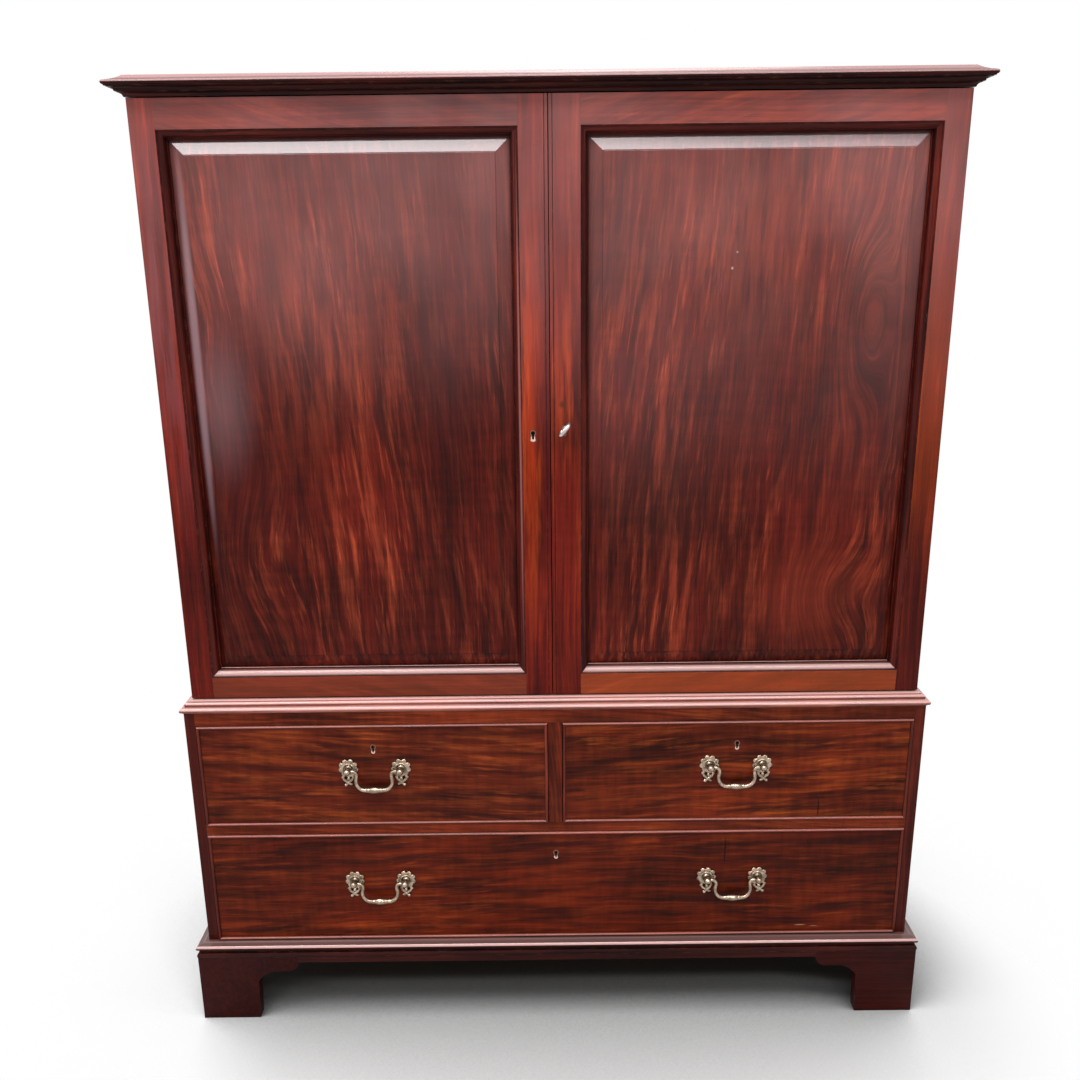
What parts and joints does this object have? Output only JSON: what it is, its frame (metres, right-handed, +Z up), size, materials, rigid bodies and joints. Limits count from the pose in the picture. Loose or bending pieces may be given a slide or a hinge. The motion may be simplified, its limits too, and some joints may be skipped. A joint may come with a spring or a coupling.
{
  "type": "linen press",
  "caption": "Tall two-stage linen press: panelled double doors over trays, above a case of drawers on bracket feet with swan-neck handles.",
  "frame": {"origin": "middle of the footprint on the floor", "axes": "+X to the viewer's right, +Y from the doors to the back, +Z up"},
  "size_m": [1.314, 0.567, 1.6185],
  "materials": {
    "mahogany_case": "aged polished mahogany",
    "mahogany_moulding": "aged polished mahogany, moulded",
    "mahogany_base": "aged polished mahogany, moulded",
    "mahogany_stile": "aged polished mahogany, upright grain",
    "mahogany_rail": "aged polished mahogany, level grain",
    "mahogany_panel_left": "polished ribbon mahogany",
    "mahogany_panel_right": "polished ribbon mahogany, mirrored figure",
    "mahogany_drawer": "polished figured mahogany, level grain",
    "mahogany_bead": "worn polished bead",
    "mahogany_foot": "dark polished mahogany",
    "oak_lining": "waxed oak",
    "oak_tray": "waxed oak",
    "pine_case": "aged bare pine",
    "pine_back": "aged bare pine",
    "brass_worn": "worn cast brass",
    "brass_hinge": "dull brass",
    "steel_bolt": "dull iron",
    "steel_key": "worn polished steel"
  },
  "bodies": {
    "carcase": {"upper_side_left": "mahogany_case", "upper_side_right": "mahogany_case", "upper_top": "pine_case", "upper_bottom": "pine_case", "upper_back": "pine_back", "cornice": "mahogany_moulding", "tray_runners": "pine_case", "trays": "oak_tray", "case_hinges": "brass_hinge", "lower_side_left": "mahogany_case", "lower_side_right": "mahogany_case", "lower_boards": "pine_case", "lower_back": "pine_back", "drawer_rails": "mahogany_rail", "drawer_divider": "mahogany_stile", "drawer_runners": "pine_case", "waist_moulding": "mahogany_moulding", "base_moulding": "mahogany_base", "foot_front_left": "mahogany_foot", "foot_front_right": "mahogany_foot", "feet_rear": "mahogany_foot"},
    "door_left": {"door_left_stiles": "mahogany_stile", "door_left_rails": "mahogany_rail", "door_left_panel": "mahogany_panel_left", "door_left_moulding": "mahogany_moulding", "door_left_hinges": "brass_hinge", "door_left_escutcheon": "brass_worn", "door_left_bolt_plates": "brass_hinge"},
    "bolt_upper": {"bolt_upper": "steel_bolt"},
    "bolt_lower": {"bolt_lower": "steel_bolt"},
    "door_right": {"door_right_stiles": "mahogany_stile", "door_right_rails": "mahogany_rail", "door_right_panel": "mahogany_panel_right", "door_right_moulding": "mahogany_moulding", "door_right_hinges": "brass_hinge", "door_right_lock": "brass_worn"},
    "door_lock_bolt": {"door_lock_bolt": "steel_bolt"},
    "door_key": {"door_key": "steel_key"},
    "drawer_left": {"drawer_left_front": "mahogany_drawer", "drawer_left_box": "oak_lining", "drawer_left_beads": "mahogany_bead", "drawer_left_lock": "brass_worn", "drawer_left_plates": "brass_worn"},
    "drawer_left_lock_bolt": {"drawer_left_lock_bolt": "steel_bolt"},
    "drawer_right": {"drawer_right_front": "mahogany_drawer", "drawer_right_box": "oak_lining", "drawer_right_beads": "mahogany_bead", "drawer_right_lock": "brass_worn", "drawer_right_plates": "brass_worn"},
    "drawer_right_lock_bolt": {"drawer_right_lock_bolt": "steel_bolt"},
    "drawer_long": {"drawer_long_front": "mahogany_drawer", "drawer_long_box": "oak_lining", "drawer_long_beads": "mahogany_bead", "drawer_long_lock": "brass_worn", "drawer_long_plates": "brass_worn"},
    "drawer_long_lock_bolt": {"drawer_long_lock_bolt": "steel_bolt"},
    "bail_left": {"bail_left": "brass_worn"},
    "bail_right": {"bail_right": "brass_worn"},
    "bail_long_left": {"bail_long_left": "brass_worn"},
    "bail_long_right": {"bail_long_right": "brass_worn"}
  },
  "joints": [
    {"name": "door_left_swing", "type": "hinge", "parent": "carcase", "child": "door_left", "pos_m": [-0.6225, -0.218, 1.1085], "axis": [0, 0, -1], "range_deg": [0, 150]},
    {"name": "door_right_swing", "type": "hinge", "parent": "carcase", "child": "door_right", "pos_m": [0.6225, -0.218, 1.1085], "axis": [0, 0, 1], "range_deg": [0, 150]},
    {"name": "bolt_upper_slide", "type": "slide", "parent": "door_left", "child": "bolt_upper", "axis": [0, 0, 1], "range_m": [0, 0.012]},
    {"name": "bolt_lower_slide", "type": "slide", "parent": "door_left", "child": "bolt_lower", "axis": [0, 0, -1], "range_m": [0, 0.012]},
    {"name": "key_turn", "type": "hinge", "parent": "door_right", "child": "door_key", "pos_m": [0.0191, -0.2485, 1.0905], "axis": [0, -1, 0], "range_deg": [0, 180]},
    {"name": "door_lock_bolt_slide", "type": "slide", "parent": "door_right", "child": "door_lock_bolt", "axis": [-1, 0, 0], "range_m": [0, 0.009]},
    {"name": "drawer_left_slide", "type": "slide", "parent": "carcase", "child": "drawer_left", "axis": [0, -1, 0], "range_m": [0, 0.38]},
    {"name": "drawer_left_lock_bolt_slide", "type": "slide", "parent": "drawer_left", "child": "drawer_left_lock_bolt", "axis": [0, 0, 1], "range_m": [0, 0.008]},
    {"name": "drawer_right_slide", "type": "slide", "parent": "carcase", "child": "drawer_right", "axis": [0, -1, 0], "range_m": [0, 0.38]},
    {"name": "drawer_right_lock_bolt_slide", "type": "slide", "parent": "drawer_right", "child": "drawer_right_lock_bolt", "axis": [0, 0, 1], "range_m": [0, 0.008]},
    {"name": "drawer_long_slide", "type": "slide", "parent": "carcase", "child": "drawer_long", "axis": [0, -1, 0], "range_m": [0, 0.38]},
    {"name": "drawer_long_lock_bolt_slide", "type": "slide", "parent": "drawer_long", "child": "drawer_long_lock_bolt", "axis": [0, 0, 1], "range_m": [0, 0.008]},
    {"name": "bail_left_swing", "type": "hinge", "parent": "drawer_left", "child": "bail_left", "pos_m": [-0.315, -0.2745, 0.5], "axis": [-1, 0, 0], "range_deg": [-8, 160]},
    {"name": "bail_right_swing", "type": "hinge", "parent": "drawer_right", "child": "bail_right", "pos_m": [0.315, -0.2745, 0.5], "axis": [-1, 0, 0], "range_deg": [-8, 160]},
    {"name": "bail_long_left_swing", "type": "hinge", "parent": "drawer_long", "child": "bail_long_left", "pos_m": [-0.3165, -0.2745, 0.2775], "axis": [-1, 0, 0], "range_deg": [-8, 160]},
    {"name": "bail_long_right_swing", "type": "hinge", "parent": "drawer_long", "child": "bail_long_right", "pos_m": [0.3165, -0.2745, 0.2775], "axis": [-1, 0, 0], "range_deg": [-8, 160]}
  ],
  "couplings": [
    {"joint": "door_lock_bolt_slide", "follows": "key_turn", "m_per_rad": 0.0028648}
  ]
}
